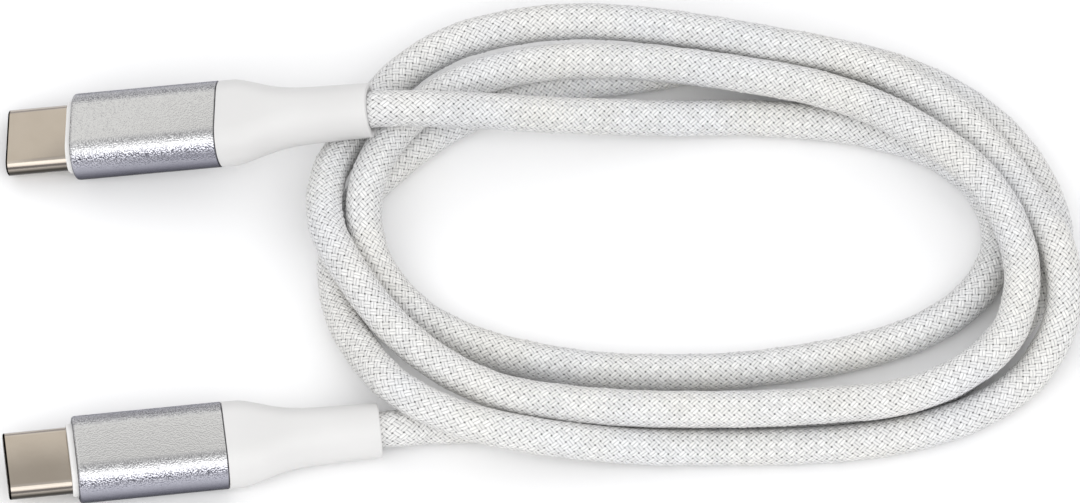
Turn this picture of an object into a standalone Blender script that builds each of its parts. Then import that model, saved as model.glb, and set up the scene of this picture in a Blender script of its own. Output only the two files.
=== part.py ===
"""A braided charging cable, 0.78 m long, lying in a loose flat coil of three and a half turns.

Each end is a slim reversible plug: metal shell, contact housing, plastic core with a front
collar, aluminium sleeve and a moulded strain-relief boot. Metres, +Z up, floor at z = 0.
"""
import math

import bpy
from mathutils import Matrix, Vector

MM = 0.001

# Driving sizes, in millimetres. A connector's own x axis runs from its tip to its boot's end.
SHELL_WIDTH = 8.25
SHELL_HEIGHT = 2.4
SHELL_WALL = 0.3
SHELL_OUT = 7.0
SHELL_SEAT = 2.0
HOUSING_GAP = 0.2
HOUSING_SETBACK = 0.4
SLOT_WIDTH = 6.5
SLOT_HEIGHT = 0.8
SLOT_DEPTH = 6.0
SLEEVE_WIDTH = 10.3
SLEEVE_HEIGHT = 6.2
SLEEVE_LENGTH = 16.6
SLEEVE_WALL = 0.45
FIT_GAP = 0.2
COLLAR_THICK = 0.5
BOOT_LENGTH = 17.0
BOOT_NECK = 6.1
RIM_ROUNDING = 0.25
SHELL_ROUNDING = 0.12
SHELL_BACK = 0.5
CORD_DIAMETER = 4.0
BORE_DIAMETER = CORD_DIAMETER + 0.6
BORE_DEPTH = 3.0
CORD_INSIDE = BORE_DEPTH - 0.3
CORD_POINTS = 80

SLEEVE_START = SHELL_OUT + COLLAR_THICK + FIT_GAP
SLEEVE_END = SLEEVE_START + SLEEVE_LENGTH
BOOT_START = SLEEVE_END + FIT_GAP
BOOT_STOP = BOOT_START + BOOT_LENGTH

# Where each boot's end sits, and how the connector is turned there.
UPPER_END = (20.1, 20.0, 10.29)
UPPER_PITCH = 12.5
UPPER_YAW = -1.85
LOWER_END = (21.2, -17.3, SLEEVE_HEIGHT / 2)
LOWER_PITCH = 0.0
LOWER_YAW = 6.6

# The cord's way round between the two boots, one line for each half turn.
ROUTE = [
    (25.8, 20.2, 10.3), (32.9, 21.0, 8.5), (39.9, 21.9, 6.3), (46.9, 22.9, 4.3), (54.1, 23.6, 2.9),
    (61.5, 24.1, 2.2), (68.8, 23.7, 2.05), (76.1, 22.5, 2.05), (83.0, 19.7, 2.1), (88.2, 14.7, 2.1),
    (90.0, 7.6, 2.1), (87.1, 0.9, 2.1), (81.5, -3.7, 2.1), (74.6, -6.4, 2.1), (67.4, -8.0, 2.1),
    (60.1, -9.0, 2.1), (52.7, -9.2, 2.1), (45.3, -8.9, 2.1), (38.0, -7.6, 2.1), (31.0, -5.3, 2.1),
    (24.8, -1.4, 2.4), (20.4, 4.1, 4.3), (19.4, 11.1, 6.0), (21.7, 18.1, 6.2), (26.5, 23.7, 6.1),
    (32.9, 27.3, 6.1), (40.1, 28.9, 6.2), (47.4, 29.1, 6.1), (54.8, 28.4, 6.2), (62.1, 27.2, 6.2),
    (69.3, 25.5, 6.4), (76.0, 22.6, 6.9), (82.0, 18.3, 7.6), (87.2, 13.2, 8.1), (90.9, 6.9, 8.1),
    (92.3, -0.2, 7.1), (90.4, -7.1, 6.2), (85.1, -12.1, 6.1), (78.3, -14.9, 6.0), (70.9, -15.8, 6.0),
    (63.6, -16.3, 6.0), (56.2, -16.4, 6.0), (48.8, -16.3, 6.1), (41.4, -15.6, 6.1), (34.2, -14.1, 6.1),
    (27.8, -10.5, 6.0), (22.4, -5.4, 6.1), (18.2, 0.5, 6.8), (15.2, 7.4, 6.4), (15.4, 14.6, 5.2),
    (18.5, 21.3, 4.2), (22.6, 27.6, 4.3), (28.5, 31.9, 4.9), (35.6, 33.8, 5.7), (42.9, 34.4, 6.1),
    (50.3, 33.9, 6.2), (57.6, 32.7, 6.3), (64.8, 31.2, 6.3), (72.1, 29.6, 6.2), (78.9, 26.8, 6.1),
    (84.9, 22.6, 5.8), (89.6, 17.0, 5.5), (93.5, 10.5, 5.7), (96.5, 3.6, 6.4), (96.8, -3.3, 4.8),
    (93.3, -9.6, 2.5), (87.4, -14.2, 2.05), (80.6, -16.9, 2.05), (73.3, -18.3, 2.05), (65.9, -18.8, 2.05),
    (58.6, -19.0, 2.2), (51.2, -19.3, 2.8), (43.9, -19.4, 4.0), (36.6, -19.1, 5.4), (29.5, -17.7, 6.5),
    (23.2, -13.8, 6.2), (19.3, -7.8, 4.2), (16.8, -1.1, 2.5), (16.3, 6.2, 2.05), (18.7, 13.1, 2.05),
    (23.4, 18.8, 2.05), (29.1, 23.5, 2.05), (35.6, 27.0, 2.05), (42.7, 29.0, 2.05), (50.0, 29.9, 2.05),
    (57.2, 31.3, 2.05), (64.4, 32.9, 2.05), (71.8, 32.3, 2.05), (78.9, 30.2, 2.05), (85.3, 26.7, 2.05),
    (90.7, 21.7, 2.05), (94.5, 15.3, 2.05), (96.2, 8.2, 2.05), (94.2, 1.2, 2.05), (90.1, -4.9, 2.05),
    (84.9, -10.2, 2.05), (78.1, -12.9, 2.05), (70.8, -14.2, 2.05), (63.4, -14.7, 2.05), (56.1, -15.0, 2.05),
    (48.7, -15.3, 2.05), (41.3, -15.8, 2.05), (33.9, -16.0, 2.05), (26.6, -16.4, 2.4),
]


def clear_scene():
    for item in list(bpy.data.objects):
        bpy.data.objects.remove(item, do_unlink=True)


def material(name, colour, roughness, metallic=0.0):
    made = bpy.data.materials.new(name)
    made.use_nodes = True
    shader = made.node_tree.nodes["Principled BSDF"]
    shader.inputs["Base Color"].default_value = (*colour, 1.0)
    shader.inputs["Roughness"].default_value = roughness
    shader.inputs["Metallic"].default_value = metallic
    made.diffuse_color = (*colour, 1.0)
    return made


def stadium(width, height, corner_steps=10):
    """Points round a flat-sided oval, height high and width wide, anticlockwise seen from +x."""
    radius = height / 2
    reach = max(width / 2 - radius, 0.0)
    points = []
    for side in (1, -1):
        for step in range(corner_steps + 1):
            angle = -math.pi / 2 + math.pi * step / corner_steps
            if side < 0:
                angle += math.pi
            points.append((side * reach + radius * math.cos(angle), radius * math.sin(angle)))
    return points


def loft(name, sections, surface, corner_steps=10):
    """A closed body through sections of (x, width, height), each of them an oval."""
    vertices = []
    for x, width, height in sections:
        vertices += [Vector((x, y, z)) * MM for y, z in stadium(width, height, corner_steps)]
    count = 2 * (corner_steps + 1)
    faces = [list(range(count))[::-1], list(range(len(vertices) - count, len(vertices)))]
    for ring in range(len(sections) - 1):
        start = ring * count
        for step in range(count):
            after = (step + 1) % count
            faces.append([start + step, start + after, start + count + after, start + count + step])
    mesh = bpy.data.meshes.new(name)
    mesh.from_pydata(vertices, [], faces)
    mesh.materials.append(surface)
    made = bpy.data.objects.new(name, mesh)
    bpy.context.scene.collection.objects.link(made)
    return made


def rounded(start, stop, width, height, radius, steps=3):
    """Sections of a straight oval bar whose two end rims are rounded."""
    front = []
    for step in range(steps + 1):
        angle = math.pi / 2 * step / steps
        inset = radius * (1 - math.sin(angle))
        front.append((radius * (1 - math.cos(angle)), width - 2 * inset, height - 2 * inset))
    sections = [(start + along, wide, high) for along, wide, high in front]
    return sections + [(stop - along, wide, high) for along, wide, high in reversed(front)]


def cut(body, cutter, cutters):
    """Take the cutter's shape out of the body."""
    for collection in list(cutter.users_collection):
        collection.objects.unlink(cutter)
    cutters.objects.link(cutter)
    cutter.hide_render = True
    cutter.display_type = "WIRE"
    modifier = body.modifiers.new("Cut", "BOOLEAN")
    modifier.operation = "DIFFERENCE"
    modifier.solver = "EXACT"
    modifier.object = cutter


def bore_cutter(name, start, stop, diameter, surface, steps=14):
    return loft(name, [(start, diameter, diameter), (stop, diameter, diameter)], surface, steps)


def plug_shell(side, steel, cutters):
    back = SHELL_OUT + SHELL_SEAT
    body = loft(f"{side}_plug_shell", rounded(0, back, SHELL_WIDTH, SHELL_HEIGHT, SHELL_ROUNDING, 2), steel)
    inner = SHELL_WALL * 2
    hollow = [(-1, SHELL_WIDTH - inner, SHELL_HEIGHT - inner),
              (back - SHELL_BACK, SHELL_WIDTH - inner, SHELL_HEIGHT - inner)]
    cutter = loft(f"{side}_shell_cutter", hollow, steel)
    cut(body, cutter, cutters)
    return [body, cutter]


def contact_housing(side, plastic, cutters):
    less = 2 * (SHELL_WALL + HOUSING_GAP)
    stop = SHELL_OUT + SHELL_SEAT - SHELL_BACK - HOUSING_GAP
    size = (SHELL_WIDTH - less, SHELL_HEIGHT - less)
    body = loft(f"{side}_contact_housing", [(HOUSING_SETBACK, *size), (stop, *size)], plastic)
    slot = [(-1, SLOT_WIDTH, SLOT_HEIGHT), (SLOT_DEPTH, SLOT_WIDTH, SLOT_HEIGHT)]
    cutter = loft(f"{side}_slot_cutter", slot, plastic, 4)
    cut(body, cutter, cutters)
    return [body, cutter]


def core(side, plastic, cutters):
    """The plastic body inside the sleeve, with the collar that shows in front of it."""
    less = 2 * (SLEEVE_WALL + FIT_GAP)
    wide, high = SLEEVE_WIDTH - less, SLEEVE_HEIGHT - less
    flange_wide, flange_high = SLEEVE_WIDTH - 2 * RIM_ROUNDING, SLEEVE_HEIGHT - 2 * RIM_ROUNDING
    flange_back = SHELL_OUT + COLLAR_THICK
    sections = [(SHELL_OUT, flange_wide - 0.3, flange_high - 0.3), (SHELL_OUT + 0.15, flange_wide, flange_high),
                (flange_back, flange_wide, flange_high), (flange_back + 0.01, wide, high),
                (SLEEVE_END - 0.4, wide, high)]
    body = loft(f"{side}_core_collar", sections, plastic)
    pocket_wide, pocket_high = SHELL_WIDTH + 2 * FIT_GAP, SHELL_HEIGHT + 2 * FIT_GAP
    pocket_back = SHELL_OUT + SHELL_SEAT + FIT_GAP
    pocket = [(SHELL_OUT - 1, pocket_wide, pocket_high), (pocket_back, pocket_wide, pocket_high)]
    cutter = loft(f"{side}_pocket_cutter", pocket, plastic)
    cut(body, cutter, cutters)
    return [body, cutter]


def sleeve(side, aluminium, cutters):
    rims = rounded(SLEEVE_START, SLEEVE_END, SLEEVE_WIDTH, SLEEVE_HEIGHT, RIM_ROUNDING)
    body = loft(f"{side}_sleeve", rims, aluminium, 14)
    less = 2 * SLEEVE_WALL
    hollow = [(SLEEVE_START - 1, SLEEVE_WIDTH - less, SLEEVE_HEIGHT - less),
              (SLEEVE_END + 1, SLEEVE_WIDTH - less, SLEEVE_HEIGHT - less)]
    cutter = loft(f"{side}_sleeve_cutter", hollow, aluminium, 14)
    cut(body, cutter, cutters)
    return [body, cutter]


def boot(side, plastic, cutters):
    """A moulded boot that swells from the sleeve's oval down to a round neck.

    Each section is a share of the boot's length, then how much of the difference between the
    sleeve's oval and the neck it keeps, in width and in height.
    """
    shape = [(0.01, 0.99, 0.5), (0.10, 0.98, 0.0), (0.15, 0.90, -1.5), (0.20, 0.77, -2.5), (0.25, 0.63, -3.0),
             (0.30, 0.49, -3.0), (0.35, 0.36, -2.5), (0.41, 0.24, -2.0), (0.51, 0.12, -1.0),
             (0.65, 0.06, 0.0), (0.79, 0.03, 0.0)]
    wider = SLEEVE_WIDTH - BOOT_NECK
    higher = SLEEVE_HEIGHT - BOOT_NECK
    rim = 2 * RIM_ROUNDING
    sections = [(BOOT_START, SLEEVE_WIDTH - rim / 2, SLEEVE_HEIGHT - rim / 2)]
    for along, wide, high in shape:
        sections.append((BOOT_START + along * BOOT_LENGTH, BOOT_NECK + wide * wider, BOOT_NECK + high * higher))
    sections += [(BOOT_STOP - RIM_ROUNDING, BOOT_NECK, BOOT_NECK), (BOOT_STOP, BOOT_NECK - rim, BOOT_NECK - rim)]
    body = loft(f"{side}_boot", sections, plastic, 14)
    cutter = bore_cutter(f"{side}_bore_cutter", BOOT_STOP - BORE_DEPTH, BOOT_STOP + 1, BORE_DIAMETER, plastic)
    cut(body, cutter, cutters)
    return [body, cutter]


def connector_matrix(end, pitch, yaw):
    """Puts a connector's boot end at a point, tip end down by pitch and turned by yaw."""
    turn = Matrix.Rotation(math.radians(yaw), 4, "Z") @ Matrix.Rotation(math.radians(-pitch), 4, "Y")
    return Matrix.Translation(Vector(end) * MM) @ turn @ Matrix.Translation((-BOOT_STOP * MM, 0, 0))


def connector(side, matrix, surfaces, cutters):
    holder = bpy.data.objects.new(f"{side}_connector", None)
    holder.matrix_world = matrix
    bpy.context.scene.collection.objects.link(holder)
    made = plug_shell(side, surfaces["nickel"], cutters)
    made += contact_housing(side, surfaces["dark"], cutters)
    made += core(side, surfaces["collar"], cutters)
    made += sleeve(side, surfaces["sleeve"], cutters)
    made += boot(side, surfaces["boot"], cutters)
    for item in made:
        item.parent = holder


def along_axis(matrix, inside):
    """A point on a connector's axis, inside its boot's end by so many millimetres."""
    return (matrix @ Vector(((BOOT_STOP - inside) * MM, 0, 0))) / MM


def smooth_curve(points, step=0.5):
    """Points of a centripetal Catmull-Rom curve through the given ones, about a step apart."""
    ends = [2 * points[0] - points[1], *points, 2 * points[-1] - points[-2]]
    curve = []
    for a, b, c, d in zip(ends, ends[1:], ends[2:], ends[3:]):
        knots = [0.0]
        for first, second in ((a, b), (b, c), (c, d)):
            knots.append(knots[-1] + math.sqrt((second - first).length))
        pieces = max(2, round((c - b).length / step))
        for piece in range(pieces):
            at = knots[1] + (knots[2] - knots[1]) * piece / pieces
            one = a.lerp(b, at / knots[1])
            two = b.lerp(c, (at - knots[1]) / (knots[2] - knots[1]))
            three = c.lerp(d, (at - knots[2]) / (knots[3] - knots[2]))
            four = one.lerp(two, at / knots[2])
            five = two.lerp(three, (at - knots[1]) / (knots[3] - knots[1]))
            curve.append(four.lerp(five, (at - knots[1]) / (knots[2] - knots[1])))
    curve.append(points[-1])
    return curve


def bend_spaced(curve, count):
    """Pick count points from the curve, closer together where it bends more."""
    reach = 8
    weights = [0.0]
    for place in range(1, len(curve)):
        before = curve[max(place - reach, 0)]
        after = curve[min(place + reach, len(curve) - 1)]
        here = curve[place]
        bend = (here - before).angle(after - here, 0.0) / max((after - before).length / 2, 1e-6)
        length = (here - curve[place - 1]).length
        weights.append(weights[-1] + (math.sqrt(bend) + 0.09) * length)
    picked = []
    place = 0
    for number in range(count):
        wanted = weights[-1] * number / (count - 1)
        while place < len(curve) - 2 and weights[place + 1] < wanted:
            place += 1
        share = (wanted - weights[place]) / (weights[place + 1] - weights[place])
        picked.append(curve[place].lerp(curve[place + 1], min(max(share, 0.0), 1.0)))
    return picked


def braided_cord(upper, lower, surface):
    points = [along_axis(upper, CORD_INSIDE), along_axis(upper, -1.5)]
    points += [Vector(point) for point in ROUTE]
    points += [along_axis(lower, -1.5), along_axis(lower, CORD_INSIDE)]
    curve = smooth_curve(points)
    length = sum((b - a).length for a, b in zip(curve, curve[1:]))
    print("cord length in mm", round(length, 1))
    data = bpy.data.curves.new("braided_cord", "CURVE")
    data.dimensions = "3D"
    data.bevel_depth = CORD_DIAMETER / 2 * MM
    data.bevel_resolution = 3
    data.use_fill_caps = True
    spline = data.splines.new("POLY")
    picked = bend_spaced(curve, CORD_POINTS)
    spline.points.add(len(picked) - 1)
    for slot, point in zip(spline.points, picked):
        slot.co = (*(point * MM), 1.0)
    data.materials.append(surface)
    cord = bpy.data.objects.new("braided_cord", data)
    bpy.context.scene.collection.objects.link(cord)


def build():
    clear_scene()
    cutters = bpy.data.collections.new("cutters")
    bpy.context.scene.collection.children.link(cutters)
    surfaces = {
        "nickel": material("warm_nickel", (0.62, 0.57, 0.50), 0.25, 1.0),
        "dark": material("dark_housing", (0.03, 0.03, 0.035), 0.45),
        "collar": material("white_core", (0.86, 0.85, 0.82), 0.45),
        "sleeve": material("blasted_aluminium", (0.60, 0.60, 0.63), 0.38, 1.0),
        "boot": material("white_boot", (0.88, 0.87, 0.85), 0.5),
    }
    braid = material("white_braid", (0.80, 0.80, 0.81), 0.85)
    upper = connector_matrix(UPPER_END, UPPER_PITCH, UPPER_YAW)
    lower = connector_matrix(LOWER_END, LOWER_PITCH, LOWER_YAW)
    connector("upper", upper, surfaces, cutters)
    connector("lower", lower, surfaces, cutters)
    braided_cord(upper, lower, braid)


build()
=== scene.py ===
# %% [markdown]
# # A braided charging cable in a loose coil
#
# This lesson dresses a plain solid model of a charging cable: two slim plugs with
# aluminium sleeves and white boots, and the braided cord between them. The solids
# come from the frame. Their places and sizes are kept, and only the surfaces that
# the eye sees are made again, finer.

# %% Load the frame
import math

import bmesh
import bpy
from mathutils import Matrix, Vector


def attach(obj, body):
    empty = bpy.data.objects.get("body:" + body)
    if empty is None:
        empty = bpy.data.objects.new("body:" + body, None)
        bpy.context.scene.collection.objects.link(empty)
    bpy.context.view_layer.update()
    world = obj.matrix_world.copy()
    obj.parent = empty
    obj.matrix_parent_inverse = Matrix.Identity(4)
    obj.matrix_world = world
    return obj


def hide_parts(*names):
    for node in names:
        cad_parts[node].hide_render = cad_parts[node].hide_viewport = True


MM = 0.001

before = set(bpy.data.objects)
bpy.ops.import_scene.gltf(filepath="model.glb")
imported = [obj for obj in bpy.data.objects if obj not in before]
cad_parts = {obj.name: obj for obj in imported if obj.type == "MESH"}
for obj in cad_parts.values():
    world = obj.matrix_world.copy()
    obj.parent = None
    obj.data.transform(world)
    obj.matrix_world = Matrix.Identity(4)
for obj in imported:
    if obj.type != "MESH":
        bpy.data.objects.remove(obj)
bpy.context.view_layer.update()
print("solids:", sorted(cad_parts))

# %% [markdown]
# ## The camera
#
# The photograph was taken from a good way off with a long lens, so the two plugs
# look nearly the same size. A long focal length and a distant camera repeat that.
# The distance is chosen first, and the lens follows from how many pixels a
# millimetre covers in the picture.

# %% Camera
PHOTO_WIDTH = 1080
PIXELS_PER_MM = 9.0
CAMERA_ELEVATION = math.radians(58)
CAMERA_DISTANCE = 2.0
CAMERA_TARGET = Vector((38.9, 6.0, 3.0)) * MM
SENSOR_MM = 36.0
FAR_CLIP = 20.0


def towards_front(elevation):
    """The direction from the cable to a point in front of it and above it."""
    return Vector((0, -math.cos(elevation), math.sin(elevation)))


def new_object(name, data):
    """An object in the scene that holds a mesh, a camera or a light."""
    made = bpy.data.objects.new(name, data)
    bpy.context.scene.collection.objects.link(made)
    return made


camera_data = bpy.data.cameras.new("camera")
camera_data.sensor_width = SENSOR_MM
camera_data.lens = PIXELS_PER_MM * CAMERA_DISTANCE / MM * SENSOR_MM / PHOTO_WIDTH
camera_data.clip_end = FAR_CLIP
camera = new_object("camera", camera_data)
back = towards_front(CAMERA_ELEVATION)
camera.location = CAMERA_TARGET + back * CAMERA_DISTANCE
camera.rotation_euler = (-back).to_track_quat("-Z", "Y").to_euler()
bpy.context.scene.camera = camera
print("lens in mm:", round(camera_data.lens))

# %% [markdown]
# ## Where the connectors are
#
# Each connector is modelled along its own x axis, from the tip of the plug to the
# end of its boot. One matrix then takes it to its place: the upper one leans on the
# coil, so it is pitched, and the lower one lies flat. The sizes are the solids' own,
# in millimetres.

# %% Sizes and places of the connectors
SHELL_WIDTH, SHELL_HEIGHT, SHELL_WALL = 8.25, 2.4, 0.3
SHELL_OUT, SHELL_SEAT = 7.0, 2.0
SLEEVE_WIDTH, SLEEVE_HEIGHT, SLEEVE_LENGTH, SLEEVE_WALL = 10.3, 6.2, 16.6, 0.45
FIT_GAP, COLLAR_THICK = 0.2, 0.5
BOOT_LENGTH, BOOT_NECK = 17.0, 6.1
CORD_DIAMETER, BORE_PLAY = 4.0, 0.6
BORE_DIAMETER, BORE_DEPTH = CORD_DIAMETER + BORE_PLAY, 3.0
CORD_END_GAP = 0.3
CORD_INSIDE = BORE_DEPTH - CORD_END_GAP
SLEEVE_START = SHELL_OUT + COLLAR_THICK + FIT_GAP
SLEEVE_END = SLEEVE_START + SLEEVE_LENGTH
BOOT_START = SLEEVE_END + FIT_GAP
BOOT_STOP = BOOT_START + BOOT_LENGTH


def connector_place(end, pitch, yaw):
    """The matrix that takes a connector to where its boot ends, pitched and turned in degrees."""
    turn = Matrix.Rotation(math.radians(yaw), 4, "Z") @ Matrix.Rotation(math.radians(-pitch), 4, "Y")
    return Matrix.Translation(Vector(end) * MM) @ turn @ Matrix.Translation((-BOOT_STOP * MM, 0, 0))


PLACES = {
    "upper": connector_place(end=(20.1, 20.0, 10.29), pitch=12.5, yaw=-1.85),
    "lower": connector_place(end=(21.2, -17.3, SLEEVE_HEIGHT / 2), pitch=0.0, yaw=6.6),
}
print("connector length in mm:", BOOT_STOP)

# %% [markdown]
# ## The cord's route
#
# The cord leaves the upper boot, goes round nearly four times and ends in the lower
# boot. Its route was traced over the photograph, with a height for each
# point. The trace was then smoothed and read off about every 7 mm, and these rounded
# points are the list below, in millimetres, the same as the solid's. A Catmull-Rom
# curve goes through every point it is given, so it keeps to the list and still bends
# smoothly from one point to the next.

# %% Route
ROUTE = [
    (25.8, 20.2, 10.3), (32.9, 21.0, 8.5), (39.9, 21.9, 6.3), (46.9, 22.9, 4.3), (54.1, 23.6, 2.9),
    (61.5, 24.1, 2.2), (68.8, 23.7, 2.05), (76.1, 22.5, 2.05), (83.0, 19.7, 2.1), (88.2, 14.7, 2.1),
    (90.0, 7.6, 2.1), (87.1, 0.9, 2.1), (81.5, -3.7, 2.1), (74.6, -6.4, 2.1), (67.4, -8.0, 2.1),
    (60.1, -9.0, 2.1), (52.7, -9.2, 2.1), (45.3, -8.9, 2.1), (38.0, -7.6, 2.1), (31.0, -5.3, 2.1),
    (24.8, -1.4, 2.4), (20.4, 4.1, 4.3), (19.4, 11.1, 6.0), (21.7, 18.1, 6.2), (26.5, 23.7, 6.1),
    (32.9, 27.3, 6.1), (40.1, 28.9, 6.2), (47.4, 29.1, 6.1), (54.8, 28.4, 6.2), (62.1, 27.2, 6.2),
    (69.3, 25.5, 6.4), (76.0, 22.6, 6.9), (82.0, 18.3, 7.6), (87.2, 13.2, 8.1), (90.9, 6.9, 8.1),
    (92.3, -0.2, 7.1), (90.4, -7.1, 6.2), (85.1, -12.1, 6.1), (78.3, -14.9, 6.0), (70.9, -15.8, 6.0),
    (63.6, -16.3, 6.0), (56.2, -16.4, 6.0), (48.8, -16.3, 6.1), (41.4, -15.6, 6.1), (34.2, -14.1, 6.1),
    (27.8, -10.5, 6.0), (22.4, -5.4, 6.1), (18.2, 0.5, 6.8), (15.2, 7.4, 6.4), (15.4, 14.6, 5.2),
    (18.5, 21.3, 4.2), (22.6, 27.6, 4.3), (28.5, 31.9, 4.9), (35.6, 33.8, 5.7), (42.9, 34.4, 6.1),
    (50.3, 33.9, 6.2), (57.6, 32.7, 6.3), (64.8, 31.2, 6.3), (72.1, 29.6, 6.2), (78.9, 26.8, 6.1),
    (84.9, 22.6, 5.8), (89.6, 17.0, 5.5), (93.5, 10.5, 5.7), (96.5, 3.6, 6.4), (96.8, -3.3, 4.8),
    (93.3, -9.6, 2.5), (87.4, -14.2, 2.05), (80.6, -16.9, 2.05), (73.3, -18.3, 2.05), (65.9, -18.8, 2.05),
    (58.6, -19.0, 2.2), (51.2, -19.3, 2.8), (43.9, -19.4, 4.0), (36.6, -19.1, 5.4), (29.5, -17.7, 6.5),
    (23.2, -13.8, 6.2), (19.3, -7.8, 4.2), (16.8, -1.1, 2.5), (16.3, 6.2, 2.05), (18.7, 13.1, 2.05),
    (23.4, 18.8, 2.05), (29.1, 23.5, 2.05), (35.6, 27.0, 2.05), (42.7, 29.0, 2.05), (50.0, 29.9, 2.05),
    (57.2, 31.3, 2.05), (64.4, 32.9, 2.05), (71.8, 32.3, 2.05), (78.9, 30.2, 2.05), (85.3, 26.7, 2.05),
    (90.7, 21.7, 2.05), (94.5, 15.3, 2.05), (96.2, 8.2, 2.05), (94.2, 1.2, 2.05), (90.1, -4.9, 2.05),
    (84.9, -10.2, 2.05), (78.1, -12.9, 2.05), (70.8, -14.2, 2.05), (63.4, -14.7, 2.05), (56.1, -15.0, 2.05),
    (48.7, -15.3, 2.05), (41.3, -15.8, 2.05), (33.9, -16.0, 2.05), (26.6, -16.4, 2.4),
]
STRAIGHT_OUT = 1.5
CURVE_STEP = 0.5 * MM


def along_axis(place, inside):
    """A point on a connector's axis, inside its boot's end by so many millimetres."""
    return place @ Vector(((BOOT_STOP - inside) * MM, 0, 0))


def smooth_curve(points, step):
    """Points of a centripetal Catmull-Rom curve through the given ones, about a step apart."""
    ends = [2 * points[0] - points[1], *points, 2 * points[-1] - points[-2]]
    curve = []
    for a, b, c, d in zip(ends, ends[1:], ends[2:], ends[3:]):
        knots = [0.0]
        for first, second in ((a, b), (b, c), (c, d)):
            knots.append(knots[-1] + math.sqrt((second - first).length))
        stretches = max(2, round((c - b).length / step))
        for number in range(stretches):
            at = knots[1] + (knots[2] - knots[1]) * number / stretches
            one = a.lerp(b, at / knots[1])
            two = b.lerp(c, (at - knots[1]) / (knots[2] - knots[1]))
            three = c.lerp(d, (at - knots[2]) / (knots[3] - knots[2]))
            four = one.lerp(two, at / knots[2])
            five = two.lerp(three, (at - knots[1]) / (knots[3] - knots[1]))
            curve.append(four.lerp(five, (at - knots[1]) / (knots[2] - knots[1])))
    curve.append(points[-1])
    return curve


def length_of(curve):
    return sum((b - a).length for a, b in zip(curve, curve[1:]))


route = [along_axis(PLACES["upper"], CORD_INSIDE), along_axis(PLACES["upper"], -STRAIGHT_OUT)]
route += [Vector(point) * MM for point in ROUTE]
route += [along_axis(PLACES["lower"], -STRAIGHT_OUT), along_axis(PLACES["lower"], CORD_INSIDE)]
centreline = smooth_curve(route, CURVE_STEP)
CORD_LENGTH = length_of(centreline)
print("cord length in m:", round(CORD_LENGTH, 3))

# %% [markdown]
# ## Stations along the cord
#
# The braid needs a ring of points at even steps along the cord, and each ring needs
# to know which way is sideways. A direction that is carried from one station to the
# next, and only straightened against the curve, never spins, so the yarns keep one
# slant all the way.

# %% Even points and sideways directions
def even_points(curve, count):
    """Count points at equal spacing along the curve."""
    total = length_of(curve)
    picked, place, done = [], 0, 0.0
    for number in range(count):
        wanted = total * number / (count - 1)
        while place < len(curve) - 2 and done + (curve[place + 1] - curve[place]).length < wanted:
            done += (curve[place + 1] - curve[place]).length
            place += 1
        share = (wanted - done) / (curve[place + 1] - curve[place]).length
        picked.append(curve[place].lerp(curve[place + 1], min(share, 1.0)))
    return picked


def frames_along(curve):
    """Each point with two sideways directions, carried along the curve without twisting."""
    frames = []
    side = Vector((0, 0, 1))
    for place, point in enumerate(curve):
        ahead = curve[min(place + 1, len(curve) - 1)] - curve[max(place - 1, 0)]
        ahead.normalize()
        side = (side - ahead * side.dot(ahead)).normalized()
        frames.append((point, side, ahead.cross(side)))
    return frames


BRAID_PITCH = 1.1 * MM
ROWS = 2 * round(2 * CORD_LENGTH / BRAID_PITCH) + 1
stations = frames_along(even_points(centreline, ROWS))
print("rows of the braid:", len(stations))

# %% [markdown]
# ## The braid
#
# The cord is a tube of twelve flat yarn bundles that wind one way and twelve that
# wind the other way, each going over one and under the next. Where four of them
# meet there is a pinhole. A tube cut into diamonds, one diamond for each crossing
# and four faces in each diamond, gives every bundle its own small crown. No operator
# makes such a net, so rings of points are laid along the route, every second ring
# half a step round, and three rings at a time are joined by diamonds. The two
# coordinates that count the bundles are kept as a UV map for the yarn's finish.

# %% Heights of the braid
CARRIERS = 12
AROUND = 2 * CARRIERS
CROWN_RISE = 0.12
CROWN_RADIUS = (CORD_DIAMETER / 2 + CROWN_RISE) * MM
CROWN_SPREAD = 0.12 * MM
EDGE_SINK = 0.10 * MM
HOLE_SINK = 0.20 * MM
RATE_ACROSS, RATE_ALONG = 12.99, 78.23


def braid_radius(across, along):
    """The radius at a point of the net, given its two bundle counts in half steps.

    The two rates mean nothing on the cord. They only make the crowns' heights look like chance.
    """
    if across % 2 and along % 2:
        uneven = 0.5 + 0.5 * math.sin(RATE_ACROSS * across + RATE_ALONG * along)
        return CROWN_RADIUS - CROWN_SPREAD * uneven
    if across % 2 or along % 2:
        return CROWN_RADIUS - EDGE_SINK
    return CROWN_RADIUS - HOLE_SINK


print("crown radius in mm:", round(CROWN_RADIUS / MM, 2))


# %% Braid mesh
def braid_rings(bm):
    """A ring of points at each station, every second ring turned by half a step."""
    rings = []
    for row, (point, side, other) in enumerate(stations):
        ring = []
        for slot in range(AROUND):
            turned = 2 * slot + row % 2
            angle = math.pi * turned / AROUND
            radius = braid_radius((turned + row) // 2, (turned - row) // 2)
            away = side * math.cos(angle) + other * math.sin(angle)
            ring.append(bm.verts.new(point + away * radius))
        rings.append(ring)
    return rings


def add_face(bm, corners):
    """A quarter of a diamond. A corner is a point with its count round the cord and its row."""
    face = bm.faces.new([point for point, _, _ in corners])
    face.smooth = True
    for loop, (_, turned, row) in zip(face.loops, corners):
        loop[bm.loops.layers.uv["braid"]].uv = ((turned + row) / 4, (turned - row) / 4)


def object_from(name, bm):
    mesh = bpy.data.meshes.new(name)
    bm.to_mesh(mesh)
    bm.free()
    return new_object(name, mesh)


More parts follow.
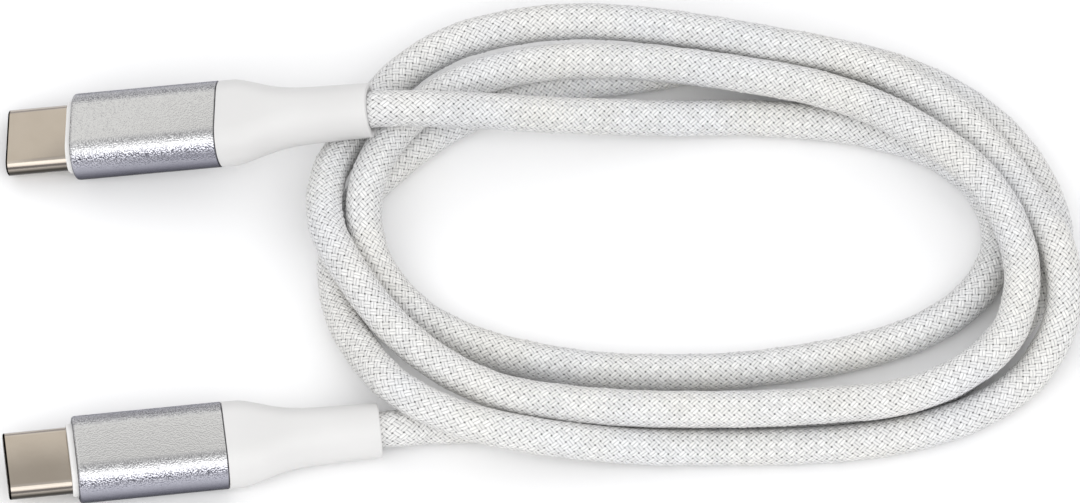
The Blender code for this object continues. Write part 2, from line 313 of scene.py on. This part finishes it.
def braid_object():
    bm = bmesh.new()
    bm.loops.layers.uv.new("braid")
    rings = braid_rings(bm)
    for row in range(ROWS - 2):
        shift = 0 if row % 2 else -1
        for slot in range(AROUND):
            left, right = slot + shift, slot + shift + 1
            add_face(bm, [
                (rings[row][slot], 2 * slot + row % 2, row),
                (rings[row + 1][right % AROUND], 2 * right + (row + 1) % 2, row + 1),
                (rings[row + 2][slot], 2 * slot + row % 2, row + 2),
                (rings[row + 1][left % AROUND], 2 * left + (row + 1) % 2, row + 1),
            ])
    for outer, inner in ((rings[0], rings[1]), (rings[-1], rings[-2])):
        for slot in range(AROUND):
            bm.faces.new((outer[slot], outer[(slot + 1) % AROUND], inner[slot]))
        bm.faces.new(outer)
    bmesh.ops.recalc_face_normals(bm, faces=bm.faces)
    return object_from("braid", bm)


braid = braid_object()
print("braid faces:", len(braid.data.polygons))

# %% [markdown]
# ## Tools for the connectors
#
# Every piece of a connector but its contacts is an oval bar: flat above and below,
# round at the sides. So one helper is enough. It lays a circle of points for each
# section, moves its two halves apart to make the oval, and bridges each ring to the
# next one. A hollow piece goes out along the outside, turns in at the rim and comes
# back inside. Each point also keeps how far along the connector it is, and how far
# the wall has turned there, from 0 on the upper flat through a half at the widest
# point to 1 on the lower flat, so that a finish can follow the oval.

# %% Oval rings
def oval_ring(bm, along, width, height, steps):
    """One section, with so many steps to each quarter of its round."""
    ring = bmesh.ops.create_circle(bm, segments=4 * steps, radius=height / 2 * MM)["verts"]
    bmesh.ops.rotate(bm, verts=ring, matrix=Matrix.Rotation(math.pi / (4 * steps), 3, "Z"))
    bmesh.ops.rotate(bm, verts=ring, matrix=Matrix(((0, 0, 1), (1, 0, 0), (0, 1, 0))))
    for vert in ring:
        vert[bm.verts.layers.float["turn"]] = math.atan2(abs(vert.co.y), vert.co.z) / math.pi
        vert[bm.verts.layers.float["along"]] = along
    reach = max(width - height, 0.0) / 2 * MM
    bmesh.ops.translate(bm, verts=ring, vec=(along * MM, 0, 0))
    bmesh.ops.translate(bm, verts=[v for v in ring if v.co.y > 0], vec=(0, reach, 0))
    bmesh.ops.translate(bm, verts=[v for v in ring if v.co.y <= 0], vec=(0, -reach, 0))
    return ring


def ring_edges(ring):
    members = set(ring)
    return [edge for edge in {e for v in ring for e in v.link_edges} if set(edge.verts) <= members]


def rounded_rim(along, width, height, radius, towards, steps=4):
    """Sections of a quarter-round rim; towards is 1 at a bar's front end and -1 at its back."""
    sections = []
    for step in range(steps + 1):
        angle = math.pi / 2 * step / steps
        inset = radius * (1 - math.sin(angle))
        place = along + towards * radius * (1 - math.cos(angle))
        sections.append((place, width - 2 * inset, height - 2 * inset))
    return sections[::towards]


def slit(along, width, height, left=0.1):
    """A section where an oval of this size has drawn in to a narrow slit, to close an end."""
    return (along, width - height + left, left)


print("sections of a rim:", rounded_rim(0, 4, 2, 0.5, 1, steps=1))

# %% Rings joined into a piece
SHARP_ANGLE = math.radians(40)
pieces = {side: {} for side in PLACES}


def oval_piece(name, sections, place, steps, looped=True):
    """A piece through sections of (along, width, height), in millimetres on its own axis."""
    bm = bmesh.new()
    for layer in ("turn", "along"):
        bm.verts.layers.float.new(layer)
    rings = [oval_ring(bm, *section, steps) for section in sections]
    loops = [ring_edges(ring) for ring in rings]
    pairs = list(zip(loops, loops[1:]))
    if looped:
        pairs.append((loops[-1], loops[0]))
    else:
        bmesh.ops.holes_fill(bm, edges=loops[0] + loops[-1], sides=0)
    for first, second in pairs:
        bmesh.ops.bridge_loops(bm, edges=first + second)
    bmesh.ops.recalc_face_normals(bm, faces=bm.faces)
    for face in bm.faces:
        face.smooth = True
    bmesh.ops.transform(bm, matrix=place, verts=bm.verts)
    piece = object_from(name, bm)
    piece.data.set_sharp_from_angle(angle=SHARP_ANGLE)
    return piece


def make_both(name, maker, node=None):
    """Make a piece for each connector. It replaces the looks of the solid that it stands for."""
    for side, made in pieces.items():
        made[name] = maker(side)
        if node:
            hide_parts(f"{side}_{node}")
        print(side, name, "faces:", len(made[name].data.polygons))


# %% [markdown]
# ## The plug
#
# The metal shell is drawn from one sheet into a flat oval tube, so its front edge is
# a thin rounded lip. It could be an extruded oval with a bevel, but sections laid out
# one after another also give the flared mouth and the wall at its back.

# %% Plug shell
LIP_ROUNDING, SHELL_BACK_ROUNDING = 0.25, 0.1
SHELL_BACK_WALL, MOUTH_DEPTH, MOUTH_FLARE = 0.5, 0.1, 0.06


def plug_shell(side):
    back = SHELL_OUT + SHELL_SEAT
    inside = back - SHELL_BACK_WALL
    wide, high = SHELL_WIDTH - 2 * SHELL_WALL, SHELL_HEIGHT - 2 * SHELL_WALL
    sections = rounded_rim(0, SHELL_WIDTH, SHELL_HEIGHT, LIP_ROUNDING, 1)
    sections += rounded_rim(back, SHELL_WIDTH, SHELL_HEIGHT, SHELL_BACK_ROUNDING, -1)
    sections += [slit(back, wide, high), slit(inside, wide, high), (inside, wide, high)]
    sections += [(MOUTH_DEPTH, wide, high), (0, wide + MOUTH_FLARE, high + MOUTH_FLARE)]
    return oval_piece(f"{side}_shell", sections, PLACES[side], 10)


make_both("shell", plug_shell, "plug_shell")

# %% [markdown]
# ### The contact housing
#
# Inside the shell sits a dark moulding with a slot for the port's tongue. The slot
# could be cut out with a boolean. Here the sections simply turn back at the front and
# run inwards again, which leaves clean faces and a small lead-in at the slot's edge.

# %% Contact housing
SLOT_WIDTH, SLOT_HEIGHT, SLOT_DEPTH = 6.5, 0.8, 6.0
HOUSING_FRONT, HOUSING_GAP, HOUSING_SHORT = 0.4, 0.2, 0.7
HOUSING_ROUNDING, LEAD_DEPTH, LEAD_FLARE = 0.08, 0.15, 0.2


def contact_housing(side):
    less = 2 * (SHELL_WALL + HOUSING_GAP)
    wide, high = SHELL_WIDTH - less, SHELL_HEIGHT - less
    stop = SHELL_OUT + SHELL_SEAT - HOUSING_SHORT
    sections = rounded_rim(HOUSING_FRONT, wide, high, HOUSING_ROUNDING, 1, steps=2)
    sections += [(stop, wide, high), slit(stop, SLOT_WIDTH, SLOT_HEIGHT)]
    sections += [slit(SLOT_DEPTH, SLOT_WIDTH, SLOT_HEIGHT), (SLOT_DEPTH, SLOT_WIDTH, SLOT_HEIGHT)]
    sections += [(HOUSING_FRONT + LEAD_DEPTH, SLOT_WIDTH, SLOT_HEIGHT),
                 (HOUSING_FRONT, SLOT_WIDTH + LEAD_FLARE, SLOT_HEIGHT + LEAD_FLARE)]
    return oval_piece(f"{side}_housing", sections, PLACES[side], 6)


make_both("housing", contact_housing, "contact_housing")

# %% [markdown]
# ### The contacts
#
# Thin gilt strips lie along both sides of the slot, and their front ends are rounded
# so that they slide onto the tongue. Each is a cube, scaled and moved to its place,
# because a strip this small needs no more. They stand for no solid of their own.

# %% Contacts
CONTACT_SPACING, CONTACTS_A_SIDE = 0.5, 12
CONTACT_SIZE, CONTACT_MIDDLE = (4.2, 0.26, 0.08), 3.2
CONTACT_ENDS_BEFORE, CONTACT_ROUNDING = 1.2, 0.03


def contacts(side):
    """Two rows of thin strips, one on each side of the slot."""
    bm = bmesh.new()
    lift = SLOT_HEIGHT / 2 - CONTACT_SIZE[2] / 2
    for row in (1, -1):
        for number in range(CONTACTS_A_SIDE):
            sideways = (number - (CONTACTS_A_SIDE - 1) / 2) * CONTACT_SPACING
            strip = bmesh.ops.create_cube(bm, size=MM)["verts"]
            bmesh.ops.scale(bm, verts=strip, vec=CONTACT_SIZE)
            bmesh.ops.translate(bm, verts=strip, vec=Vector((CONTACT_MIDDLE, sideways, row * lift)) * MM)
    front = [edge for edge in bm.edges if all(v.co.x < CONTACT_ENDS_BEFORE * MM for v in edge.verts)]
    bmesh.ops.bevel(bm, geom=front, offset=CONTACT_ROUNDING * MM, offset_type="OFFSET", segments=2,
                    profile=0.5, affect="EDGES", material=-1)
    bmesh.ops.transform(bm, matrix=PLACES[side], verts=bm.verts)
    return object_from(f"{side}_contacts", bm)


make_both("contacts", contacts)

# %% [markdown]
# ## The core
#
# A white core runs through the aluminium sleeve and shows in front of it as a thin
# collar. The collar is a little smaller than the sleeve and reaches into its mouth,
# so that the joint is a real step and not a painted line.

# %% Core with its collar
COLLAR_STEP, COLLAR_OUT, COLLAR_IN, COLLAR_ROUNDING = 1.6, 0.65, 0.4, 0.2
CORE_SHORT, CORE_SLIT = 0.4, 0.2


def core_collar(side):
    less = 2 * (SLEEVE_WALL + FIT_GAP)
    wide, high = SLEEVE_WIDTH - less, SLEEVE_HEIGHT - less
    collar_wide, collar_high = SLEEVE_WIDTH - COLLAR_STEP, SLEEVE_HEIGHT - COLLAR_STEP
    front, back = SLEEVE_START - COLLAR_OUT, SLEEVE_START + COLLAR_IN
    seat_wide, seat_high = SHELL_WIDTH + 2 * FIT_GAP, SHELL_HEIGHT + 2 * FIT_GAP
    pocket, stop = SHELL_OUT + SHELL_SEAT + FIT_GAP, SLEEVE_END - CORE_SHORT
    sections = rounded_rim(front, collar_wide, collar_high, COLLAR_ROUNDING, 1)
    sections += [(back, collar_wide, collar_high), (back, wide, high), (stop, wide, high)]
    sections += [slit(stop, wide, high, CORE_SLIT), slit(pocket, wide, high, CORE_SLIT)]
    sections += [(pocket, seat_wide, seat_high), (front, seat_wide, seat_high)]
    return oval_piece(f"{side}_core", sections, PLACES[side], 12)


make_both("core", core_collar, "core_collar")

# %% [markdown]
# ## The sleeve
#
# The sleeve is a plain oval tube of aluminium. Its front edge is well rounded and its
# back edge only broken, and both roundings are sections like the rest. It gets more
# steps round than the other pieces, because metal shows every flat in its highlights.

# %% Sleeve
SLEEVE_FRONT_ROUNDING, SLEEVE_BACK_ROUNDING = 0.4, 0.15


def sleeve(side):
    wide, high = SLEEVE_WIDTH - 2 * SLEEVE_WALL, SLEEVE_HEIGHT - 2 * SLEEVE_WALL
    sections = rounded_rim(SLEEVE_START, SLEEVE_WIDTH, SLEEVE_HEIGHT, SLEEVE_FRONT_ROUNDING, 1, steps=5)
    sections += rounded_rim(SLEEVE_END, SLEEVE_WIDTH, SLEEVE_HEIGHT, SLEEVE_BACK_ROUNDING, -1)
    sections += [(SLEEVE_END, wide, high), (SLEEVE_START, wide, high)]
    return oval_piece(f"{side}_sleeve_skin", sections, PLACES[side], 20)


make_both("sleeve", sleeve, "sleeve")

# %% [markdown]
# ## The boot
#
# Behind the sleeve the boot starts at the same oval, narrows in a soft S-curve and
# ends in a round neck, with a hole that is a little wider than the cord. A loft
# through a dozen sections draws such a shape best. Each section is a share of the
# boot's length, and then how far its width and its height are on the way from the
# neck to the sleeve's oval. The neck is almost as high as the sleeve, so a height
# below zero is a slight waist.

# %% Boot
BOOT_SHAPE = [
    (0.05, 0.99, 0.4), (0.10, 0.98, 0.0), (0.15, 0.90, -1.5), (0.20, 0.77, -2.5), (0.25, 0.63, -3.0),
    (0.30, 0.49, -3.0), (0.35, 0.36, -2.5), (0.41, 0.24, -2.0), (0.51, 0.12, -1.0), (0.65, 0.06, 0.0),
    (0.79, 0.03, 0.0),
]
SEAM, BOOT_UNDERSIZE, BOOT_FRONT_ROUNDING = 0.05, 0.04, 0.1
NECK_ROUNDING, BORE_LEAD = 0.22, 0.1


def boot(side):
    wider, higher = SLEEVE_WIDTH - BOOT_NECK, SLEEVE_HEIGHT - BOOT_NECK
    sections = rounded_rim(SLEEVE_END + SEAM, SLEEVE_WIDTH - BOOT_UNDERSIZE,
                           SLEEVE_HEIGHT - BOOT_UNDERSIZE, BOOT_FRONT_ROUNDING, 1, steps=3)
    for share, wide, high in BOOT_SHAPE:
        along = BOOT_START + share * BOOT_LENGTH
        sections.append((along, BOOT_NECK + wide * wider, BOOT_NECK + high * higher))
    sections += rounded_rim(BOOT_STOP, BOOT_NECK, BOOT_NECK, NECK_ROUNDING, -1)
    mouth = BORE_DIAMETER + 2 * BORE_LEAD
    sections += [(BOOT_STOP, mouth, mouth), (BOOT_STOP - BORE_LEAD, BORE_DIAMETER, BORE_DIAMETER),
                 (BOOT_STOP - BORE_DEPTH, BORE_DIAMETER, BORE_DIAMETER)]
    return oval_piece(f"{side}_boot_skin", sections, PLACES[side], 16, looped=False)


make_both("boot", boot, "boot")

# %% [markdown]
# ## Materials
#
# Each finish is a small set of nodes. A helper starts the material with the values
# that are the same all over, and each finish then adds what varies. A colour ramp
# that is given a surface attribute works like a table of tones along the surface.

# %% Helpers for nodes
def new_material(name, colour, roughness, metallic=0.0):
    material = bpy.data.materials.new(name)
    material.use_nodes = True
    shader = material.node_tree.nodes["Principled BSDF"]
    shader.inputs["Base Color"].default_value = (*colour, 1)
    shader.inputs["Roughness"].default_value = roughness
    shader.inputs["Metallic"].default_value = metallic
    return material, material.node_tree, shader


def add(tree, kind, settings=None, **inputs):
    """A node with its settings and inputs. An input is a value or another node's output.

    It is called by its name, or by n and its number where a node has several of one name.
    """
    node = tree.nodes.new(kind)
    for name, value in (settings or {}).items():
        setattr(node, name, value)
    for name, value in inputs.items():
        socket = node.inputs[int(name[1:])] if name[0] == "n" and name[1:].isdigit() else node.inputs[name]
        if isinstance(value, bpy.types.NodeSocket):
            tree.links.new(value, socket)
        else:
            socket.default_value = value
    return node


def maths(tree, operation, *values):
    numbered = {f"n{place}": value for place, value in enumerate(values)}
    return add(tree, "ShaderNodeMath", {"operation": operation}, **numbered).outputs[0]


def noise(tree, scale, detail=2.0):
    place = add(tree, "ShaderNodeTexCoord").outputs["Object"]
    return add(tree, "ShaderNodeTexNoise", Vector=place, Scale=scale, Detail=detail).outputs["Fac"]


def grey(level):
    return (level, level, level)


def ramp(tree, fac, *stops):
    node = add(tree, "ShaderNodeValToRGB", Fac=fac)
    marks = node.color_ramp.elements
    while len(marks) < len(stops):
        marks.new(0.5)
    for mark, (position, colour) in zip(marks, stops):
        mark.position = position
        mark.color = (*colour, 1)
    return node.outputs["Color"]


def multiplied(tree, colour, *others):
    multiply = {"data_type": "RGBA", "blend_type": "MULTIPLY"}
    for other in others:
        colour = add(tree, "ShaderNodeMix", multiply, n0=1.0, n6=colour, n7=other).outputs[2]
    return colour


def bump(tree, shader, height, distance, strength=1.0):
    node = add(tree, "ShaderNodeBump", Height=height, Distance=distance, Strength=strength)
    tree.links.new(node.outputs["Normal"], shader.inputs["Normal"])


# %% [markdown]
# ### White braided yarn
#
# The UV map counts the bundles, so the whole part of a coordinate says which bundle
# a point is in and the fraction says where it lies across it. Whole numbers that
# add up to an even one are diamonds where one family is on top, and odd ones are
# the other family's, which get a little painted shade. Two ends of yarn run along the
# bundle that is on top, with painted shade in the grooves between them, and the
# corners between bundles are dark pinholes of painted shade, some darker than others.
# Modelling every end would take something like a million faces, and a bump shows
# enough of them from here.

# %% Braid material
ENDS_A_BUNDLE = 2
YARN_DEPTH, CROWN_SHARE = 0.06 * MM, 0.6
PINHOLE_EDGE, PINHOLE_REACH = 0.06, 0.185
# Painted pinhole shade: the darkest a pinhole gets, and how much lighter chance may make it.
DARKEST_PINHOLE_SHADE, PINHOLE_SHADE_SPREAD = 0.12, 0.6
YARN_DRIFT_SCALE = 90.0


def chance_of(tree, first, second):
    """A chance number that is the same wherever both counts are."""
    pair = add(tree, "ShaderNodeCombineXYZ", n0=first, n1=second).outputs[0]
    return add(tree, "ShaderNodeTexWhiteNoise", {"noise_dimensions": "2D"}, Vector=pair).outputs["Value"]


def openness(tree, first, second):
    """0 at the corners between bundles, rising to 1 on the yarn."""
    squares = [maths(tree, "POWER", maths(tree, "PINGPONG", count, 0.5), 2.0) for count in (first, second)]
    corner = maths(tree, "SQRT", maths(tree, "ADD", *squares))
    return add(tree, "ShaderNodeMapRange", {"interpolation_type": "SMOOTHSTEP"},
               n0=corner, n1=PINHOLE_EDGE, n2=PINHOLE_REACH, n3=0.0, n4=1.0).outputs[0]


def braid_material():
    material, tree, shader = new_material("white_yarn", (0.86, 0.86, 0.85), 0.8)
    uv = add(tree, "ShaderNodeUVMap", {"uv_map": "braid"}).outputs[0]
    counts = add(tree, "ShaderNodeSeparateXYZ", Vector=uv)
    first, second = counts.outputs[0], counts.outputs[1]
    whole_first, whole_second = maths(tree, "FLOOR", first), maths(tree, "FLOOR", second)
    parity = maths(tree, "PINGPONG", maths(tree, "ADD", whole_first, whole_second), 1.0)
    across_first, across_second = maths(tree, "FRACT", first), maths(tree, "FRACT", second)
    swing = maths(tree, "SUBTRACT", across_second, across_first)
    across = maths(tree, "MULTIPLY_ADD", parity, swing, across_first)
    wave = maths(tree, "SINE", maths(tree, "MULTIPLY", across, math.pi * ENDS_A_BUNDLE))
    ends = maths(tree, "ABSOLUTE", wave)
    crown = maths(tree, "SINE", maths(tree, "MULTIPLY", across, math.pi))
    open_yarn = openness(tree, first, second)
    height = maths(tree, "MULTIPLY", maths(tree, "MULTIPLY_ADD", crown, CROWN_SHARE, ends), open_yarn)
    bump(tree, shader, height, YARN_DEPTH)
    # Painted shade: the grooves between the ends of yarn are darkened in the colour.
    painted_groove_shade = ramp(tree, ends, (0.0, (0.48, 0.48, 0.49)), (0.5, (0.98, 0.98, 0.975)))
    bundle = ramp(tree, chance_of(tree, whole_first, whole_second),
                  (0.0, (0.79, 0.785, 0.775)), (0.8, (0.88, 0.875, 0.865)))
    # Painted shade: the diamonds of the second family are a little darker, as if the light fell less on
    # them.
    painted_family_shade = ramp(tree, parity, (0.0, grey(1.0)), (1.0, (0.95, 0.95, 0.955)))
    # Painted shade in the pinholes: each corner between bundles is darkened, some more than others by
    # chance.
    depth = chance_of(tree, maths(tree, "ROUND", first), maths(tree, "ROUND", second))
    painted_pinhole_shade = maths(tree, "MAXIMUM", open_yarn, maths(tree, "MULTIPLY_ADD", depth, PINHOLE_SHADE_SPREAD, DARKEST_PINHOLE_SHADE))
    drift = ramp(tree, noise(tree, YARN_DRIFT_SCALE), (0.35, (0.97, 0.98, 1.0)), (0.65, (1.0, 0.995, 0.975)))
    tree.links.new(multiplied(tree, painted_groove_shade, bundle, painted_family_shade, painted_pinhole_shade, drift), shader.inputs["Base Color"])
    return material


PATH_POINTS = 600
braid.data.materials.append(braid_material())
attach(braid, "root")
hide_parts("braided_cord")
[tuple(point) for point in even_points(centreline, PATH_POINTS)]
print("braid is", braid.data.materials[0].name)

# %% [markdown]
# ### Blasted aluminium
#
# The sleeve is blasted before it is anodised, so its surface is a fine grain that
# scatters each highlight into bright and dark specks. A fine noise makes the grain,
# both as bump and as tone. The studio had dark and light panels that this plain
# stage has not, so their reflections are painted on, and both follow how far the
# wall has turned from the upper flat: the tone is a painted reflection that darkens
# to painted shade below the widest point, and the real grain's specks are made
# strongest in a painted highlight band. Paint like this is the same on both sides,
# stays on the metal and doesn't know where the camera is.

# %% Sleeve material
GRAIN_SCALE, GRAIN_DEPTH = 6500.0, 0.045 * MM


def attribute(tree, name):
    return add(tree, "ShaderNodeAttribute", {"attribute_name": name}).outputs["Fac"]


def dress(name, material):
    """Give both connectors' pieces of one name their finish. They ride on the part."""
    for made in pieces.values():
        made[name].data.materials.append(material)
        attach(made[name], "root")
    print(name, "is", material.name)


def sleeve_material():
    material, tree, shader = new_material("blasted_aluminium", (0.58, 0.58, 0.57), 0.2, 1.0)
    turn = attribute(tree, "turn")
    # Painted reflection and shade: lighter and bluish a quarter of the way round, darkest below the widest
    # point, lighter again near the lower flat.
    tone = ramp(tree, turn, (0.0, (0.585, 0.58, 0.565)), (0.1, grey(0.575)), (0.17, (0.60, 0.60, 0.61)),
                (0.25, (0.62, 0.62, 0.67)), (0.31, (0.58, 0.58, 0.64)), (0.37, (0.44, 0.44, 0.50)),
                (0.5, (0.22, 0.22, 0.26)), (0.66, (0.08, 0.08, 0.09)), (0.8, (0.50, 0.50, 0.51)))
    # Painted highlight: the grain's specks are strongest in the band a quarter of the way round, and faint
    # elsewhere.
    painted_highlight_speck_strength = ramp(tree, turn, (0.03, grey(0.0)), (0.08, grey(0.4)), (0.13, grey(0.35)), (0.18, grey(0.22)),
                   (0.27, grey(0.95)), (0.34, grey(0.25)), (0.42, grey(0.1)))
    speck = ramp(tree, noise(tree, GRAIN_SCALE, 0.0), (0.40, (0.12, 0.12, 0.14)), (0.55, grey(1.0)))
    plain = (1, 1, 1, 1)
    grain_with_painted_highlight = add(tree, "ShaderNodeMix", {"data_type": "RGBA"}, n0=painted_highlight_speck_strength, n6=plain, n7=speck).outputs[2]
    from_start = maths(tree, "SUBTRACT", attribute(tree, "along"), SLEEVE_START)
    from_end = maths(tree, "PINGPONG", from_start, SLEEVE_LENGTH / 2)
    rim = ramp(tree, from_end, (0.06, (0.5, 0.5, 0.51)), (0.14, grey(1.0)))
    tree.links.new(multiplied(tree, tone, grain_with_painted_highlight, rim), shader.inputs["Base Color"])
    shader.inputs["Specular Tint"].default_value = (0.45, 0.45, 0.47, 1.0)
    bump(tree, shader, noise(tree, GRAIN_SCALE, 0.0), GRAIN_DEPTH)
    return material


dress("sleeve", sleeve_material())

# %% [markdown]
# ### Plated steel and gilt
#
# The shell is smooth plated steel with a faint unevenness. Its tone follows the turn
# of the wall like the sleeve's, with a painted highlight and painted reflections that
# go nearly black below the widest point, and its rounded front lip carries a painted
# dark reflection, nearly black. The contacts are gilt, and they need only a colour, a
# low roughness and a trace of bump.

# %% Shell and contact materials
def shell_material():
    material, tree, shader = new_material("plated_steel", (0.46, 0.40, 0.33), 0.13, 1.0)
    tone = ramp(tree, noise(tree, 300.0), (0.3, (0.52, 0.465, 0.40)), (0.7, (0.55, 0.495, 0.43)))
    # Painted dark reflection: the rounded front lip is nearly black, in colour and in specular tint.
    painted_dark_lip = ramp(tree, attribute(tree, "along"), (0.0, grey(0.45)), (0.02, grey(0.35)),
                    (0.05, grey(0.012)), (0.21, grey(0.012)), (0.27, grey(1.0)))
    # Painted highlight and reflections: a bright line near the upper flat, darker bands on the round, and
    # nearly black below the widest point.
    side = ramp(tree, attribute(tree, "turn"), (0.03, (0.82, 0.80, 0.76)), (0.1, grey(1.0)),
                (0.2, (0.85, 0.85, 0.86)), (0.28, (0.42, 0.41, 0.42)), (0.34, (0.75, 0.75, 0.76)),
                (0.44, grey(0.12)), (0.66, grey(0.06)), (0.8, (0.82, 0.80, 0.76)))
    tree.links.new(multiplied(tree, tone, painted_dark_lip, side), shader.inputs["Base Color"])
    tree.links.new(painted_dark_lip, shader.inputs["Specular Tint"])
    bump(tree, shader, noise(tree, 1800.0, 4.0), 0.01 * MM, 0.4)
    return material


def contact_material():
    material, tree, shader = new_material("gilt_contact", (0.83, 0.62, 0.27), 0.25, 1.0)
    bump(tree, shader, noise(tree, 3000.0), 0.005 * MM, 0.4)
    return material


dress("shell", shell_material())
dress("contacts", contact_material())

# %% [markdown]
# ### Mouldings
#
# The boot, the core and the housing are moulded, the first two in white and the last
# in a dark plastic. All are matte with a slight mould grain, so one function makes
# them, with two close colours that drift into each other.

# %% Plastic materials
MOULD_DRIFT_SCALE, MOULD_GRAIN_DEPTH = 160.0, 0.012 * MM


def plastic_material(name, dark, light, roughness, grain_scale):
    material, tree, shader = new_material(name, light, roughness)
    tone = ramp(tree, noise(tree, MOULD_DRIFT_SCALE), (0.35, dark), (0.65, light))
    tree.links.new(tone, shader.inputs["Base Color"])
    bump(tree, shader, noise(tree, grain_scale, 3.0), MOULD_GRAIN_DEPTH, 0.5)
    return material


dark_moulding = plastic_material("dark_moulding", (0.045, 0.045, 0.048), (0.06, 0.06, 0.065), 0.45, 3000.0)
white_core = plastic_material("white_core", (0.78, 0.775, 0.76), (0.80, 0.795, 0.78), 0.45, 2600.0)
white_boot = plastic_material("white_boot", (0.67, 0.665, 0.655), (0.69, 0.685, 0.675), 0.5, 2400.0)
dress("housing", dark_moulding)
dress("core", white_core)
dress("boot", white_boot)

# %% [markdown]
# ## Floor
#
# The photograph is a plain studio shot on white. One large pale grid of a single face
# is enough for it. The crowns of the braid reach a little below the solids' own
# floor, so the face lies a fifth of a millimetre lower.

# %% Floor
FLOOR_SIZE, FLOOR_DROP = 6.0, 0.2 * MM
bm = bmesh.new()
bmesh.ops.create_grid(bm, x_segments=1, y_segments=1, size=FLOOR_SIZE / 2)
floor = object_from("floor", bm)
floor.location = (0, 0, -FLOOR_DROP)
floor_material, _, _ = new_material("pale_floor", (0.94, 0.94, 0.94), 0.9)
floor.data.materials.append(floor_material)
print("floor size in m:", FLOOR_SIZE)

# %% [markdown]
# ## Light
#
# The room is bright and even. It is dimmer near the horizon and straight overhead,
# so the metal has something darker to reflect beside the white. One soft light above
# the front draws the bright band along each sleeve's near side.

# %% Softbox and room
SOFTBOX_ELEVATION = math.radians(51)
SOFTBOX_DISTANCE, SOFTBOX_SIZE, SOFTBOX_WATTS = 0.9, (1.6, 0.72), 4.2
ROOM_STRENGTH = 1.2

softbox_data = bpy.data.lights.new("top_softbox", "AREA")
softbox_data.shape = "RECTANGLE"
softbox_data.size, softbox_data.size_y = SOFTBOX_SIZE
softbox_data.energy = SOFTBOX_WATTS
softbox = new_object("top_softbox", softbox_data)
away = towards_front(SOFTBOX_ELEVATION)
softbox.location = CAMERA_TARGET + away * SOFTBOX_DISTANCE
softbox.rotation_euler = away.to_track_quat("Z", "Y").to_euler()
softbox.visible_camera = False

world = bpy.data.worlds.new("studio")
world.use_nodes = True
room = world.node_tree
direction = add(room, "ShaderNodeTexCoord").outputs["Generated"]
upwards = add(room, "ShaderNodeSeparateXYZ", Vector=direction).outputs[2]
room_tone = ramp(room, upwards, (0.0, (0.50, 0.50, 0.52)), (0.3, (0.50, 0.50, 0.53)), (0.55, grey(1.0)),
                 (0.78, grey(1.0)), (0.835, (0.82, 0.82, 0.83)), (0.88, (0.62, 0.62, 0.63)))
room.links.new(room_tone, room.nodes["Background"].inputs["Color"])
room.nodes["Background"].inputs["Strength"].default_value = ROOM_STRENGTH
bpy.context.scene.world = world
bpy.context.scene.view_settings.view_transform = "Standard"
